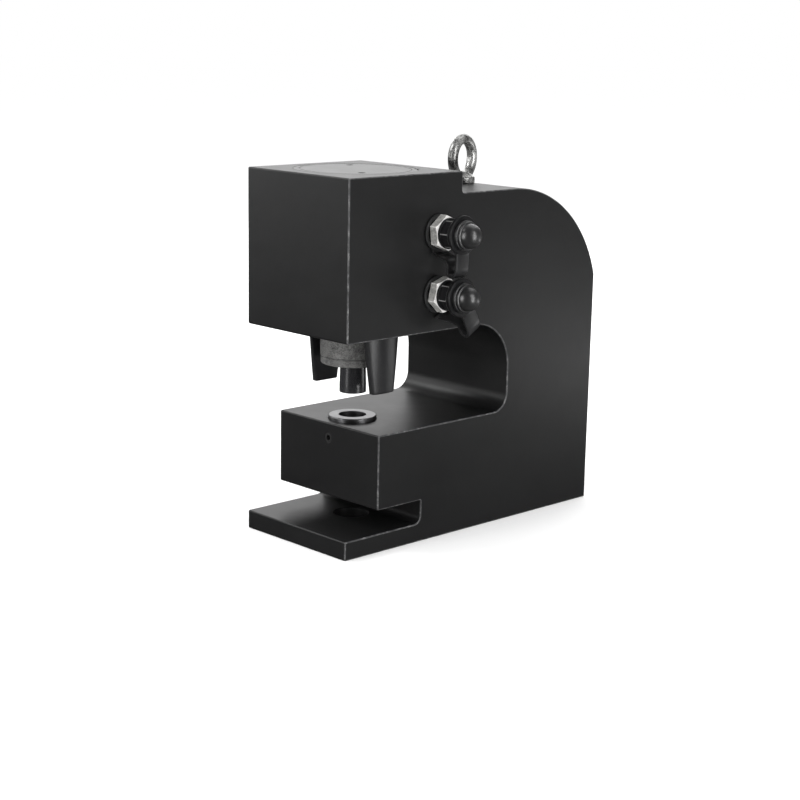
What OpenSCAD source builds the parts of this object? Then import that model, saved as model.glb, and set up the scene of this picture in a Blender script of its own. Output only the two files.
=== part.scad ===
// Double-acting hydraulic C-frame hole punch for busbar and flat stock.
// Origin: the punch axis where it meets the floor plane. +Z up, +Y towards the
// back of the throat, +X towards the side that carries the couplers.

/* [Frame] */
// Width of the frame across the sides
frame_w = 110; // [100:1:120]
// Depth of the frame from the head's front face to the back
frame_d = 265.1; // [260:0.1:275]
// Height of the frame behind the head
frame_top = 257.7; // [255:0.1:262]
// Height of the head's top face
head_top = 273.5; // [270:0.1:280]
// Depth of the head
head_d = 111.6; // [108:0.1:116]
// Height of the head's underside
head_bottom = 157.7; // [156:0.1:160]
// Radius of the frame's upper back corner
back_r = 100; // [90:1:104]
// Distance of that corner's centre behind the head's front face
back_y = 168.8; // [166:0.1:172]

/* [Throat] */
// Distance from the head's front face to the throat's back wall
throat_d = 166.2; // [160:0.1:172]
// Height of the lower arm's top face
arm_top = 87.5; // [84:0.1:90]
// Height of the lower arm's underside
arm_bottom = 31.8; // [28:0.1:36]
// How far the lower arm stands back from the head's front face
arm_setback = 31.5; // [28:0.1:33]
// Radius of the throat's upper back corner
throat_top_r = 36; // [20:1:40]
// Radius of the throat's lower back corner
throat_low_r = 13.8; // [8:0.1:18]

/* [Foot] */
// Thickness of the foot plate
foot_t = 14; // [10:1:18]
// Depth of the slot between foot and lower arm
slot_d = 75.4; // [75:0.1:84]
// Radius of the slot's lower inner corner
slot_r = 6; // [2:1:6]
// Radius of the slug hole through the foot
foot_hole_r = 13; // [11:0.5:13.5]

/* [Cylinder] */
// Radius of the cylinder bore
bore_r = 40; // [40:1:40]
// Height of the cylinder's floor
bore_floor = 200; // [200:1:200]
// Radius of the screwed end cap
cap_r = 45.5; // [45:0.5:47]
// Radius of the fillet behind the head, where it meets the frame's top
step_r = 2; // [1:0.5:4]
// Thickness of the end cap's screwed part
cap_t = 18.5; // [16:0.5:20]
// Radius of the ram rod
rod_r = 20; // [20:1:20]
// Radial running clearance
run = 0.05; // [0.02:0.01:0.1]

/* [Tooling] */
// Radius of the punch at its cutting edge
punch_r = 10; // [6:0.5:10]
// Height of the punch's cutting edge with the ram up
punch_z = 108; // [106:0.5:110]
// Outer radius of the nut that holds the punch
nut_r = 24.6; // [23:0.1:25]
// Height of that nut's lower face with the ram up
nut_z = 130.2; // [129:0.1:132]
// Outer radius of the die
die_r = 18; // [16:0.5:19]
// Height that the die stands proud of the arm
die_proud = 3; // [0:0.5:4]
// Inner face of each stripper leg, from the punch axis
leg_in = 29; // [28:0.1:30]
// Outer radius of the stripper legs
leg_r = 35.2; // [34:0.1:36]
// Height of the lower end of the stripper legs
leg_z = 112; // [111:0.5:114]

/* [Couplers] */
// Distance of both coupler axes behind the head's front face
port_y = 89; // [86:0.1:92]
// Height of the upper coupler's axis
upper_z = 230.5; // [229:0.5:232]
// Height of the lower coupler's axis
lower_z = 185.5; // [184:0.5:187]
// Across flats of the adapter's hexagon
adapter_af = 23; // [22:1:24]
// Across flats of the coupler's hexagon
coupler_af = 19; // [17:1:22]

/* [Eye bolt] */
// Distance of the eye bolt behind the head's front face
eye_y = 167.3; // [164:0.1:170]
// Height of the ring's centre
eye_z = 276.7; // [275:0.1:278]
// Mean radius of the ring
eye_ring_r = 14.6; // [14:0.1:15.5]
// Radius of the ring's section
eye_wire_r = 4; // [3.5:0.1:4.5]
// How far the ring is turned from the fore-and-aft direction
eye_turn = 14; // [0:1:30]

/* [Hidden] */
$fn = 96;

front = -head_d / 2;           // the punch axis is in the middle of the head
side = frame_w / 2;
back = front + frame_d;
py = front + port_y;
ey = front + eye_y;
cap_z = head_top - cap_t;      // shoulder that the end cap screws down on
foot_back = front + slot_d - slot_r; // the foot plate ends where the slot's fillet starts
piston_top = 250.6;
piston_bottom = 227;
die_bottom = 62;
screw_z = 76;                  // height of the die's set screw
lock_dir = [cos(55.4), sin(55.4)];
lock_pos = cap_r * lock_dir;   // the end cap's lock screw sits on its seam

// ---------- helpers ----------
module ring(ro, ri, z0, z1) {
  translate([0, 0, z0]) difference() {
    cylinder(r = ro, h = z1 - z0);
    translate([0, 0, -1]) cylinder(r = ri, h = z1 - z0 + 2);
  }
}
// A turned shape from [radius, height] points
module turned(pts) { rotate_extrude() polygon(pts); }
// Puts a shape turned about Z on a coupler's axis, its Z along +X
module on_port(z) { translate([0, py, z]) rotate([0, 90, 0]) children(); }
// A straight drilling between two points
module drill(a, b, r) {
  d = b - a;
  len = norm(d);
  translate(a) rotate([0, acos(d[2] / len), atan2(d[1], d[0])])
    cylinder(r = r, h = len);
}
// A hexagon whose far end, and near end too where asked, is turned off at the corners
module hex_bar(af, z0, z1, turn = 0, both = true) {
  c = af / cos(30) / 2;
  intersection() {
    translate([0, 0, z0]) rotate([0, 0, turn]) cylinder(r = c, h = z1 - z0, $fn = 6);
    turned([[0, z0], [both ? af * 0.475 : c + 0.2, z0], [c + 0.2, z0 + 1.15],
            [c + 0.2, z1 - 1.15], [af * 0.475, z1], [0, z1]]);
  }
}

// ---------- frame ----------
module throat_2d() {
  yt = front + throat_d;
  r1 = throat_top_r;
  r2 = throat_low_r;
  translate([front - 1, arm_top]) square([throat_d + 1 - r1, head_bottom - arm_top]);
  translate([yt - r1 - 1, arm_top]) square([r1 + 1 - r2, head_bottom - r1 - arm_top]);
  translate([yt - r1 - 1, arm_top + r2]) square([r1 + 1, head_bottom - r1 - arm_top - r2]);
  translate([yt - r1, head_bottom - r1]) intersection() {
    circle(r = r1);
    translate([-1, -1]) square(r1 + 2);
  }
  translate([yt - r2, arm_top + r2]) circle(r = r2);
  // the arm stands back from the head's front face
  translate([front - 1, foot_t]) square([arm_setback + 1, head_bottom - foot_t]);
}
module slot_2d() {
  ye = front + slot_d;
  translate([front - 1, foot_t]) square([slot_d + 1 - slot_r, arm_bottom - foot_t]);
  translate([ye - slot_r - 1, foot_t + slot_r]) square([slot_r + 1, arm_bottom - foot_t - slot_r]);
  translate([ye - slot_r, foot_t + slot_r]) circle(r = slot_r);
}
// The frame is one block. It is built as its back and three plain parts that meet it
// face to face: the head, the arm over the slot and the foot plate.
module profile_2d() {
  difference() {
    union() {
      translate([front, 0]) square([frame_d, frame_top]);
      difference() {
        translate([front + head_d - 1, frame_top - 1]) square([step_r + 1, step_r + 1]);
        translate([front + head_d + step_r, frame_top + step_r]) circle(r = step_r);
      }
    }
    difference() {
      translate([front + back_y, frame_top - back_r]) square([frame_d, back_r + 1]);
      translate([front + back_y, frame_top - back_r]) circle(r = back_r);
    }
    throat_2d();
    slot_2d();
    translate([front - 1, head_bottom - 1]) square([head_d + 1, head_top - head_bottom + 2]);
    translate([front - 1, arm_bottom]) square([slot_d + 1, arm_top - arm_bottom]);
    translate([front - 1, -1]) square([foot_back - front + 1, foot_t + 1]);
  }
}
module port_drillings() {
  // each port is a threaded seat and a slanted drilling into its end of the cylinder
  floor_x = side - 14;
  u = [floor_x, py] / norm([floor_x, py]);
  for (k = [[upper_z, piston_top + 0.6], [lower_z, bore_floor + 8]]) {
    on_port(k[0]) translate([0, 0, floor_x]) cylinder(r = 8.3, h = 15);
    a = [floor_x, py, k[0] - 2];
    b = [u[0] * (bore_r - 2), u[1] * (bore_r - 2), k[1]];
    d = (b - a) / norm(b - a);
    drill(a - d * 5, b + d * 5, 2);
  }
}
module c_frame() {
  color([0.13, 0.13, 0.14]) difference() {
    translate([-side, 0, 0]) rotate([90, 0, 90]) linear_extrude(frame_w) profile_2d();
    // eye bolt
    translate([0, ey, frame_top - 14.5]) cylinder(r = 4, h = 16);
  }
}
module head_block() {
  color([0.13, 0.13, 0.14]) difference() {
    translate([-side, front, head_bottom]) cube([frame_w, head_d, head_top - head_bottom]);
    // cylinder, end cap seat, gland and stripper seat
    translate([0, 0, bore_floor]) cylinder(r = bore_r, h = cap_z - bore_floor + 1);
    translate([0, 0, cap_z]) cylinder(r = cap_r, h = cap_t + 1);
    translate([lock_pos[0], lock_pos[1], head_top - 9]) cylinder(r = 2.2, h = 10);
    translate([0, 0, 171]) cylinder(r = 24, h = bore_floor - 170);
    translate([0, 0, head_bottom - 1]) cylinder(r = 38, h = 172 - head_bottom + 1);
    port_drillings();
  }
}
module die_arm() {
  color([0.13, 0.13, 0.14]) difference() {
    translate([-side, front + arm_setback, arm_bottom])
      cube([frame_w, slot_d - arm_setback, arm_top - arm_bottom]);
    // die seat and slug channel
    translate([0, 0, die_bottom]) cylinder(r = die_r, h = arm_top - die_bottom + 1);
    translate([0, 0, arm_bottom - 1]) cylinder(r = foot_hole_r, h = die_bottom - arm_bottom + 2);
    // die set screw
    translate([0, front + arm_setback - 1, screw_z]) rotate([-90, 0, 0]) cylinder(r = 4, h = 10);
  }
}
module foot_plate() {
  color([0.13, 0.13, 0.14]) difference() {
    translate([-side, front, 0]) cube([frame_w, foot_back - front, foot_t]);
    translate([0, 0, -1]) cylinder(r = foot_hole_r, h = foot_t + 2);
  }
}
module end_cap() {
  color([0.30, 0.30, 0.31]) difference() {
    turned([[0, 252.6], [33, 252.6], [33, 253.4], [39.9, 253.4], [39.9, cap_z],
            [cap_r, cap_z], [cap_r, head_top - 0.8], [cap_r - 0.8, head_top], [0, head_top]]);
    translate([lock_pos[0], lock_pos[1], head_top - 9]) cylinder(r = 2.2, h = 10);
    // holes for a pin spanner
    for (s = [-1, 1]) translate([s * 33 * lock_dir[1], -s * 33 * lock_dir[0], head_top - 6])
      cylinder(r = 2.5, h = 7);
    // seal groove
    difference() {
      translate([0, 0, 253.7]) cylinder(r = 41, h = 1);
      translate([0, 0, 253.6]) cylinder(r = 38.4, h = 1.3);
    }
  }
}
module end_cap_seal() { color("black") ring(39.95, 38.4, 253.75, 254.65); }
module end_cap_lock_screw() {
  color([0.1, 0.1, 0.1]) translate([lock_pos[0], lock_pos[1], 0]) difference() {
    translate([0, 0, head_top - 9]) cylinder(r = 2.2, h = 7.6);
    translate([0, 0, head_top - 3.6]) cylinder(r = 1.15, h = 3, $fn = 6);
  }
}

// ---------- stripper ----------
module leg_side_2d() {
  // the leg is wider where it meets the ring
  low = 10.6;
  top = 17.9;
  polygon([[-low, leg_z], [low, leg_z], [top, head_bottom], [top, head_bottom + 4],
           [-top, head_bottom + 4], [-top, head_bottom]]);
}
module stripper() {
  color([0.16, 0.16, 0.17]) union() {
    ring(38, 27, head_bottom, 172);
    for (s = [0, 180]) rotate([0, 0, s]) intersection() {
      translate([0, 0, leg_z]) cylinder(r = leg_r, h = head_bottom + 4 - leg_z);
      translate([leg_in, 0, 0]) rotate([90, 0, 90]) linear_extrude(20) leg_side_2d();
    }
  }
}

// ---------- ram ----------
module guide_bush() { color([0.72, 0.53, 0.25]) ring(24, rod_r + run, 178, 194); }
module rod_seal() { color([0.15, 0.2, 0.45]) ring(24, rod_r + 0.02, 194, bore_floor); }
module rod_wiper() { color("black") ring(24, rod_r + 0.02, 172, 178); }
module piston() {
  r = bore_r - run;
  color([0.6, 0.6, 0.62]) turned([
    [12, piston_bottom], [r - 3, piston_bottom], [r, piston_bottom + 3],
    [r, 231.5], [37.5, 231.5], [37.5, 235.5], [r, 235.5],
    [r, 238], [35, 238], [35, 244], [r, 244],
    [r, piston_top - 3], [r - 3, piston_top], [19.5, piston_top],
    [19.5, 240.6], [12, 240.6]]);
}
module piston_seal() { color([0.15, 0.2, 0.45]) ring(bore_r - 0.02, 35, 238, 244); }
module piston_wear_ring() { color([0.55, 0.45, 0.3]) ring(bore_r - 0.03, 37.5, 231.5, 235.5); }
module piston_nut() {
  color([0.35, 0.35, 0.36]) difference() {
    hex_bar(32, 240.6, 250);
    translate([0, 0, 239]) cylinder(r = 12, h = 13);
  }
}
module ram_rod() {
  color([0.75, 0.76, 0.78]) turned([[0, 146], [rod_r, 146], [rod_r, piston_bottom],
    [12, piston_bottom], [12, 249.2], [11.2, 250], [0, 250]]);
}
module punch_nut() {
  // the lower rim is turned smooth below a shallow groove
  color([0.42, 0.42, 0.42]) turned([
    [punch_r + 0.6, nut_z], [nut_r - 1.2, nut_z], [nut_r - 0.4, nut_z + 0.8],
    [nut_r - 0.4, nut_z + 5.2], [nut_r, nut_z + 6], [nut_r, 167.2], [nut_r - 0.8, 168],
    [rod_r, 168], [rod_r, 140], [punch_r + 0.6, 140]]);
}
module punch() {
  color([0.10, 0.10, 0.11]) turned([[0, punch_z], [punch_r - 0.15, punch_z],
    [punch_r, punch_z + 0.15], [punch_r, punch_z + 5], [punch_r - 0.4, nut_z],
    [punch_r - 0.4, 140], [16, 140], [16, 146], [0, 146]]);
}

// ---------- die ----------
module die() {
  top = arm_top + die_proud;
  color([0.35, 0.35, 0.36]) turned([[11.5, die_bottom], [die_r, die_bottom],
    [die_r, top - 1], [die_r - 1, top], [punch_r + 0.3, top],
    [punch_r + 0.3, top - 7], [11.5, top - 9]]);
}
module die_set_screw() {
  color([0.1, 0.1, 0.1]) translate([0, front + arm_setback + 0.3, screw_z]) rotate([-90, 0, 0])
    difference() {
      cylinder(r = 4, h = -die_r - (front + arm_setback + 0.3));
      translate([0, 0, -1]) cylinder(r = 2.3, h = 4, $fn = 6);
    }
}

// ---------- eye bolt ----------
module eye_bolt() {
  color([0.8, 0.8, 0.8]) translate([0, ey, 0]) union() {
    translate([0, 0, frame_top - 13.5]) cylinder(r = 4, h = 14);
    translate([0, 0, frame_top]) cylinder(r = 9.8, h = 4.6);
    translate([0, 0, frame_top + 4.5]) cylinder(r1 = 9.8, r2 = 6.4, h = 3);
    translate([0, 0, eye_z]) rotate([0, 0, eye_turn]) rotate([0, 90, 0])
      rotate_extrude() translate([eye_ring_r, 0]) circle(r = eye_wire_r);
  }
}

// ---------- couplers, all heights here are distances along +X ----------
hex0 = side + 1.8;             // the strap's ring lies between frame and hexagon
hex1 = hex0 + 7;
body1 = hex1 + 9.2;
nose1 = body1 + 10;
tip1 = nose1 + 3;
chamber0 = body1 - 7.4;
seat0 = body1 + 5.6;
module adapter(z, turn) {
  on_port(z) difference() {
    union() {
      translate([0, 0, side - 13.5]) cylinder(r = 8.3, h = hex0 - side + 14);
      hex_bar(adapter_af, hex0, hex1, turn, false);
    }
    translate([0, 0, side - 15]) cylinder(r = 3, h = 40);
    translate([0, 0, side]) cylinder(r = 7, h = 20);
  }
}
module coupler(z, turn) {
  // the bore is wide from the inner end to the seat, then as wide as the poppet's stem
  on_port(z) difference() {
    union() {
      translate([0, 0, side]) cylinder(r = 7, h = hex1 - side + 0.5);
      hex_bar(coupler_af, hex1, body1, turn);
      turned([[0, body1 - 0.5], [8.5, body1 - 0.5], [8.5, nose1 - 0.6], [7.9, nose1],
              [6, nose1], [6, tip1 - 0.5], [5.5, tip1], [0, tip1]]);
    }
    turned([[0, side - 1], [5.2, side - 1], [5.2, seat0], [3, seat0 + 2.2],
            [3, tip1 + 1], [0, tip1 + 1]]);
  }
}
// The sleeve that the poppet's spring stands on
module spring_seat(z) {
  on_port(z) turned([[3, side], [5.2, side], [5.2, chamber0 - 0.4], [4.8, chamber0], [3, chamber0]]);
}
module poppet(z) {
  // a cone that closes the bore, a stem towards the nose and a tail for the spring
  on_port(z) turned([[0, body1 - 3.4], [2, body1 - 3.4], [2, seat0 - 1.5], [4.8, seat0 - 1.5],
    [4.8, seat0 + 0.2], [2.92, seat0 + 2.08], [2.92, tip1 - 0.9], [2.6, tip1 - 0.6], [0, tip1 - 0.6]]);
}
// A coil spring as one swept tube
module coil(r, wire, len, turns, per_turn = 20, sides = 8) {
  n = turns * per_turn;
  pts = [for (i = [0 : n]) let (a = i * 360 / per_turn, h = wire + (len - 2 * wire) * i / n)
    for (j = [0 : sides - 1]) let (b = j * 360 / sides)
      [(r + wire * cos(b)) * cos(a), (r + wire * cos(b)) * sin(a), h + wire * sin(b)]];
  faces = concat(
    [[for (j = [0 : sides - 1]) j]],
    [for (i = [0 : n - 1]) for (j = [0 : sides - 1]) let (k = (j + 1) % sides)
      [i * sides + j, (i + 1) * sides + j, (i + 1) * sides + k, i * sides + k]],
    [[for (j = [sides - 1 : -1 : 0]) n * sides + j]]);
  polyhedron(points = pts, faces = faces, convexity = 10);
}
module poppet_spring(z) {
  on_port(z) translate([0, 0, chamber0 + 0.1])
    coil(3.9, 0.45, seat0 - 1.5 - chamber0 - 0.2, 5);
}
module dust_cap(z) {
  on_port(z) difference() {
    union() {
      turned([[0, body1 + 0.2], [11.2, body1 + 0.2], [11.6, body1 + 0.6], [11.6, body1 + 3],
        [11.2, body1 + 3.4], [9.7, body1 + 3.4], [9.7, body1 + 6.7], [10.6, body1 + 6.7],
        [11, body1 + 7.1], [11, body1 + 8.4], [10.4, body1 + 9], [10.3, body1 + 9],
        [10.3, body1 + 11.2], [10, body1 + 11.5], [0, body1 + 11.5]]);
      translate([0, 0, body1 + 11.5]) intersection() {
        sphere(r = 9.1);
        translate([0, 0, -0.5]) cylinder(r = 10, h = 12);
      }
    }
    turned([[0, body1 - 1], [8.5 + run, body1 - 1], [8.5 + run, nose1 + 0.1],
            [6.3, nose1 + 0.1], [6.3, tip1 + 0.3], [0, tip1 + 0.3]]);
  }
}
module cap_ring(z) { on_port(z) ring(14.2, 9.9, body1 + 3.65, body1 + 6.45); }
// The strap: a loose ring round the adapter's neck and a band that runs out under the
// hexagons and hangs in a loop below the cap. The band's centre line is given by
// [distance from the axis, distance along the axis] points, reach is the loop's lowest
// point and lean its tilt from straight down.
strap_x = side + 0.95;
loop = [[12, strap_x], [14.6, strap_x + 0.15], [16.3, 59.5], [17.4, 63.8], [19.4, 67.8], [22.6, 69.6],
        [26.2, 69.3], [29.3, 70.3], [30.4, 73], [29, 75.9], [25.6, 77.7], [21, 78.05], [14.5, 78.05]];
function spline(p, i, t) = let (
  a = p[max(0, i - 1)], b = p[i], c = p[i + 1], d = p[min(len(p) - 1, i + 2)])
  (2 * b + (c - a) * t + (2 * a - 5 * b + 4 * c - d) * t * t + (3 * b - a - 3 * c + d) * t * t * t) / 2;
module band_2d(reach) {
  k = (reach - 17.4) / (31.3 - 17.4);
  p = [for (q = loop) [q[0] > 17.4 && q[1] < 78 ? 17.4 + (q[0] - 17.4) * k : q[0], q[1]]];
  line = concat([for (i = [0 : len(p) - 2]) for (j = [0 : 3]) spline(p, i, j / 4)], [p[len(p) - 1]]);
  n = len(line);
  out = [for (i = [0 : n - 1]) let (
    d = line[min(n - 1, i + 1)] - line[max(0, i - 1)],
    h = (1.5 + 0.8 * i / (n - 1)) / 2) [-d[1], d[0]] / norm(d) * h];
  polygon(concat([for (i = [0 : n - 1]) line[i] + out[i]], [for (i = [n - 1 : -1 : 0]) line[i] - out[i]]));
}
// Half the band's width: wider near the ring on the adapter's side
function half(r, tab, root) = tab + root * pow(max(0, (26 - r) / 14), 2);
module strap(z, lean, reach, tab, root) {
  on_port(z) union() {
    difference() {
      translate([0, -2.2, side + 0.2]) cylinder(r = 13.6, h = 1.5);
      translate([0, -2.2, side - 1]) cylinder(r = 10.8, h = 4);
    }
    // local +x points down; lean turns it towards the back
    rotate([0, 0, lean]) intersection() {
      translate([0, 15, 0]) rotate([90, 0, 0]) linear_extrude(30) band_2d(reach);
      union() {
        translate([0, 0, side]) linear_extrude(16) polygon(concat(
          [for (r = [10 : 2 : 26]) [r, half(r, tab, root)]], [[40, tab], [40, -tab]],
          [for (r = [26 : -2 : 10]) [r, -half(r, tab, root)]]));
        translate([10, -tab, side + 16]) cube([30, 2 * tab, 12]);
      }
    }
  }
}

module upper_adapter() { color([0.75, 0.75, 0.72]) adapter(upper_z, 7); }
module upper_coupler() { color([0.12, 0.12, 0.12]) coupler(upper_z, 28); }
module upper_spring_seat() { color([0.6, 0.6, 0.6]) spring_seat(upper_z); }
module upper_poppet() { color([0.6, 0.6, 0.6]) poppet(upper_z); }
module upper_poppet_spring() { color([0.6, 0.6, 0.65]) poppet_spring(upper_z); }
module upper_dust_cap() { color([0.2, 0.2, 0.2]) dust_cap(upper_z); }
module upper_cap_ring() { color([0.08, 0.08, 0.08]) cap_ring(upper_z); }
module upper_strap() { color([0.08, 0.08, 0.08]) strap(upper_z, -1, 31.3, 6.2, 2.5); }
module lower_adapter() { color([0.75, 0.75, 0.72]) adapter(lower_z, -13); }
module lower_coupler() { color([0.12, 0.12, 0.12]) coupler(lower_z, -17); }
module lower_spring_seat() { color([0.6, 0.6, 0.6]) spring_seat(lower_z); }
module lower_poppet() { color([0.6, 0.6, 0.6]) poppet(lower_z); }
module lower_poppet_spring() { color([0.6, 0.6, 0.65]) poppet_spring(lower_z); }
module lower_dust_cap() { color([0.2, 0.2, 0.2]) dust_cap(lower_z); }
module lower_cap_ring() { color([0.08, 0.08, 0.08]) cap_ring(lower_z); }
module lower_strap() { color([0.08, 0.08, 0.08]) strap(lower_z, 31, 32.8, 6.6, 6); }

c_frame();
head_block();
die_arm();
foot_plate();
end_cap();
end_cap_seal();
end_cap_lock_screw();
stripper();
guide_bush();
rod_seal();
rod_wiper();
die();
die_set_screw();
eye_bolt();
piston();
piston_seal();
piston_wear_ring();
piston_nut();
ram_rod();
punch_nut();
punch();
upper_adapter();
upper_coupler();
upper_spring_seat();
upper_poppet();
upper_poppet_spring();
upper_dust_cap();
upper_cap_ring();
upper_strap();
lower_adapter();
lower_coupler();
lower_spring_seat();
lower_poppet();
lower_poppet_spring();
lower_dust_cap();
lower_cap_ring();
lower_strap();
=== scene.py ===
import math

import bmesh
import bpy
import numpy as np
from mathutils import Matrix, Vector


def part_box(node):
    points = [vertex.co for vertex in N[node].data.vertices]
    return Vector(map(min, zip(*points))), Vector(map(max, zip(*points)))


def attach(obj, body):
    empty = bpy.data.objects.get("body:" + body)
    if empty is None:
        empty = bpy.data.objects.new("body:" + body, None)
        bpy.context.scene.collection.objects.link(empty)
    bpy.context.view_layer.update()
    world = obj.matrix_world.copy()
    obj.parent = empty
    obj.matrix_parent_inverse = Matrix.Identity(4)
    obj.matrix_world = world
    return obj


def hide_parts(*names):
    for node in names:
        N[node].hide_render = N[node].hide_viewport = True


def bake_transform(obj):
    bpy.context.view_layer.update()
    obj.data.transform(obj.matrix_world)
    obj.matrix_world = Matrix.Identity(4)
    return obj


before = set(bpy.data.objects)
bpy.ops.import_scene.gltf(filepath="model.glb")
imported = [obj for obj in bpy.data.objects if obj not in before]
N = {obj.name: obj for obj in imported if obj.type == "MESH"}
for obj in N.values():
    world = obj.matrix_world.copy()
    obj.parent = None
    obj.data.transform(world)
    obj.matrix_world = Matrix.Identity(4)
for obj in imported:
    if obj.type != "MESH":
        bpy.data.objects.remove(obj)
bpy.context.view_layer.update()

MM = 0.001


def lo(node, axis):
    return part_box(node)[0][axis] / MM


def hi(node, axis):
    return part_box(node)[1][axis] / MM


# ------------------------------------------------------------------ places from the CAD frame (mm)
FRONT, BACK = lo("head_block", 1), hi("c_frame", 1)
SIDE = hi("c_frame", 0)
HEAD_TOP = hi("head_block", 2)
HEAD_BOTTOM = lo("stripper", 2) + 45.7
FRAME_TOP = HEAD_TOP - 15.8
HEAD_BACK = -FRONT
PORT_Y = (lo("upper_poppet", 1) + hi("upper_poppet", 1)) / 2
PORT_Z = {s: (lo(s + "_poppet", 2) + hi(s + "_poppet", 2)) / 2 for s in ("upper", "lower")}
EYE_Y = (lo("eye_bolt", 1) + hi("eye_bolt", 1)) / 2
TOP_CAP_R = hi("end_cap", 0)


# ------------------------------------------------------------------ outlines
def outline(points, step=6.0, closed=True):
    """Corners [(x, y, radius)] as a polyline with each corner rounded. A radius of None is a bare point."""
    out = []
    n = len(points)
    for i, p in enumerate(points):
        r = p[2] if len(p) > 2 else 0
        v = np.array(p[:2], float)
        if not r or (not closed and i in (0, n - 1)):
            out.append(tuple(v))
            continue
        a = np.array(points[(i - 1) % n][:2], float) - v
        b = np.array(points[(i + 1) % n][:2], float) - v
        la, lb = np.linalg.norm(a), np.linalg.norm(b)
        a, b = a / la, b / lb
        half = math.acos(max(-1, min(1, float(a @ b)))) / 2
        back = r / math.tan(half)
        room = 0.499 * min(la, lb) if n > 2 else back
        if back > room and back > 0.97 * min(la, lb):
            back = room
            r = back * math.tan(half)
        mid = (a + b) / np.linalg.norm(a + b)
        c = v + mid * (r / math.sin(half))
        s, e = v + a * back - c, v + b * back - c
        turn = math.pi - 2 * half
        k = max(2, int(math.ceil(math.degrees(turn) / step)))
        cross = s[0] * e[1] - s[1] * e[0]
        sign = 1 if cross > 0 else -1
        for j in range(k + 1):
            t = sign * turn * j / k
            out.append((c[0] + s[0] * math.cos(t) - s[1] * math.sin(t), c[1] + s[0] * math.sin(t) + s[1] * math.cos(t)))
    keep = [out[0]]
    for p in out[1:]:
        if math.hypot(p[0] - keep[-1][0], p[1] - keep[-1][1]) > 1e-6:
            keep.append(p)
    if closed and math.hypot(keep[0][0] - keep[-1][0], keep[0][1] - keep[-1][1]) < 1e-6:
        keep.pop()
    return keep


def inset(pts, d):
    """A closed counter-clockwise outline moved inwards by d along its corners' bisectors."""
    p = np.array(pts, float)
    a, b = np.roll(p, 1, 0), np.roll(p, -1, 0)
    e1, e2 = p - a, b - p
    e1 /= np.linalg.norm(e1, axis=1)[:, None]
    e2 /= np.linalg.norm(e2, axis=1)[:, None]
    n1, n2 = np.stack([-e1[:, 1], e1[:, 0]], 1), np.stack([-e2[:, 1], e2[:, 0]], 1)
    m = n1 + n2
    m /= np.linalg.norm(m, axis=1)[:, None]
    return p + m * (d / np.maximum((m * n1).sum(1), 0.3))[:, None]


# ------------------------------------------------------------------ mesh building
def finish_mesh(name, bm, mats, angle=30, weighted=True, weld=0.0):
    if weld:
        bmesh.ops.remove_doubles(bm, verts=bm.verts, dist=weld)
    bmesh.ops.recalc_face_normals(bm, faces=bm.faces)
    me = bpy.data.meshes.new(name)
    bm.to_mesh(me)
    bm.free()
    for p in me.polygons:
        p.use_smooth = True
    me.set_sharp_from_angle(angle=math.radians(angle))
    o = bpy.data.objects.new(name, me)
    bpy.context.scene.collection.objects.link(o)
    for m in mats if isinstance(mats, (list, tuple)) else [mats]:
        me.materials.append(m)
    if weighted:
        w = o.modifiers.new("weighted", "WEIGHTED_NORMAL")
        w.mode = "FACE_AREA"
        w.weight = 90
        w.keep_sharp = True
    return o


def axis_x(y, z):
    """Puts a shape turned about its own Z on a line along +X."""
    return Matrix.Translation((0, y, z)) @ Matrix.Rotation(math.radians(90), 4, "Y")


def lathe_bm(profile, seg=96, place=None, mat=None):
    """A turned closed outline of (radius, height); points at radius 0 lie on the axis. mat gives a face's material from its (r, h) middle."""
    bm = bmesh.new()
    place = place or Matrix.Identity(4)
    rings = []
    for r, h in profile:
        if r < 1e-6:
            rings.append([bm.verts.new(place @ Vector((0, 0, h)) * 1)])
        else:
            rings.append([bm.verts.new(place @ Vector((r * math.cos(2 * math.pi * k / seg), r * math.sin(2 * math.pi * k / seg), h))) for k in range(seg)])
    n = len(rings)
    for i in range(n):
        a, b = rings[i], rings[(i + 1) % n]
        if len(a) == 1 and len(b) == 1:
            continue
        m = 0
        if mat:
            m = mat((profile[i][0] + profile[(i + 1) % n][0]) / 2, (profile[i][1] + profile[(i + 1) % n][1]) / 2)
        for k in range(seg):
            q = (k + 1) % seg
            if len(a) == 1:
                f = (a[0], b[q], b[k])
            elif len(b) == 1:
                f = (a[k], a[q], b[0])
            else:
                f = (a[k], a[q], b[q], b[k])
            bm.faces.new(f).material_index = m
    for v in bm.verts:
        v.co *= MM
    return bm


def lathe(name, profile, mats, seg=96, place=None, mat=None, angle=30, weighted=True):
    return finish_mesh(name, lathe_bm(profile, seg, place, mat), mats, angle, weighted)


def prism_bm(pts, x0, x1, edge=0.0, steps=3, mat_edge=0):
    """A closed (y, z) outline, counter-clockwise seen from +X, drawn along X with rounded rims."""
    bm = bmesh.new()
    layers = []
    if edge:
        for k in range(steps + 1):
            t = math.pi / 2 * k / steps
            layers.append((x0 + edge * (1 - math.sin(t)), edge * (1 - math.cos(t))))
        layers = [(x0 + edge * (1 - math.cos(math.pi / 2 * k / steps)), edge * (1 - math.sin(math.pi / 2 * k / steps))) for k in range(steps + 1)]
        layers += [(x1 - (x - x0), d) for x, d in reversed(layers)]
    else:
        layers = [(x0, 0), (x1, 0)]
    rows = []
    for x, d in layers:
        p = inset(pts, d) if d > 1e-9 else np.array(pts, float)
        rows.append([bm.verts.new((x * MM, y * MM, z * MM)) for y, z in p])
    n = len(pts)
    for i in range(len(rows) - 1):
        rim = edge and (i < steps or i >= len(rows) - 1 - steps)
        for k in range(n):
            q = (k + 1) % n
            f = bm.faces.new((rows[i][k], rows[i][q], rows[i + 1][q], rows[i + 1][k]))
            f.material_index = mat_edge if rim else 0
    bm.faces.new(rows[0])
    bm.faces.new(rows[-1])
    return bm


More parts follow.
